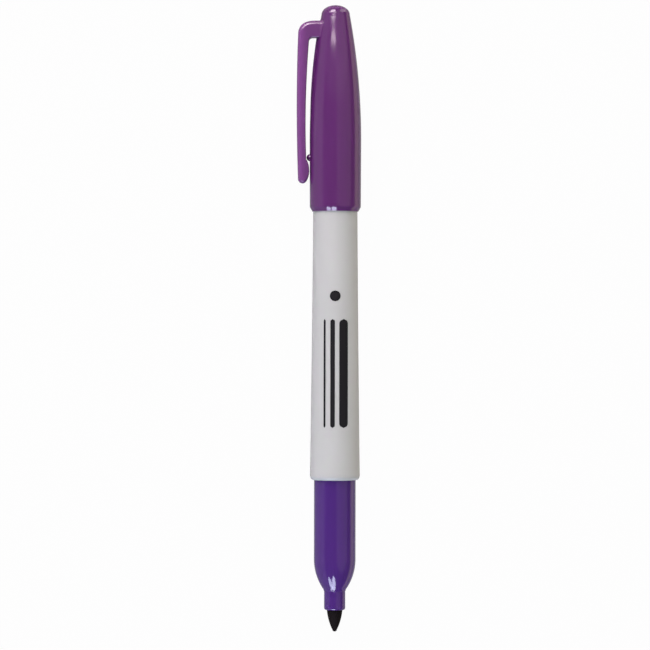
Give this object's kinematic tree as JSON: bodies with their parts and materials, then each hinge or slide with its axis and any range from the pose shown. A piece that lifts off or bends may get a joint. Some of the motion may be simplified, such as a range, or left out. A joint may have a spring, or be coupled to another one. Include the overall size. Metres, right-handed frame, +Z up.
{
  "type": "permanent marker",
  "caption": "Slim permanent marker with a bullet nib, a tapered barrel and a domed clip cap pushed onto the tail.",
  "frame": {"origin": "on the desk, under the middle of the bounding box, with the marker lying on its side", "axes": "+X runs along the marker towards the nib, +Z is up, and the pocket clip points towards -Y and down"},
  "size_m": [0.1502, 0.0148, 0.0123],
  "materials": {
    "barrel_plastic": "satin",
    "section_plastic": "gloss",
    "cap_plastic": "gloss",
    "nib_felt": "matte",
    "inked_fibre": "matte",
    "clear_film": "gloss",
    "soft_liner": "satin"
  },
  "bodies": {
    "marker": {"barrel": "barrel_plastic", "grip_section": "section_plastic", "nib": "nib_felt", "ink_filler": "inked_fibre", "filler_film": "clear_film", "breather_tube": "clear_film"},
    "cap": {"cap_shell": "cap_plastic", "inner_cap": "soft_liner"},
    "clip": {"pocket_clip": "cap_plastic"}
  },
  "joints": [
    {"name": "cap_slide", "type": "slide", "parent": "marker", "child": "cap", "axis": [-1, 0, 0], "range_m": [0, 0.03]},
    {"name": "clip_flex", "type": "hinge", "parent": "cap", "child": "clip", "pos_m": [-0.07121, -0.00307, 0.00355], "axis": [0, 0.5221, -0.8529], "range_deg": [0, 4], "stiffness_Nm_per_rad": 1}
  ]
}
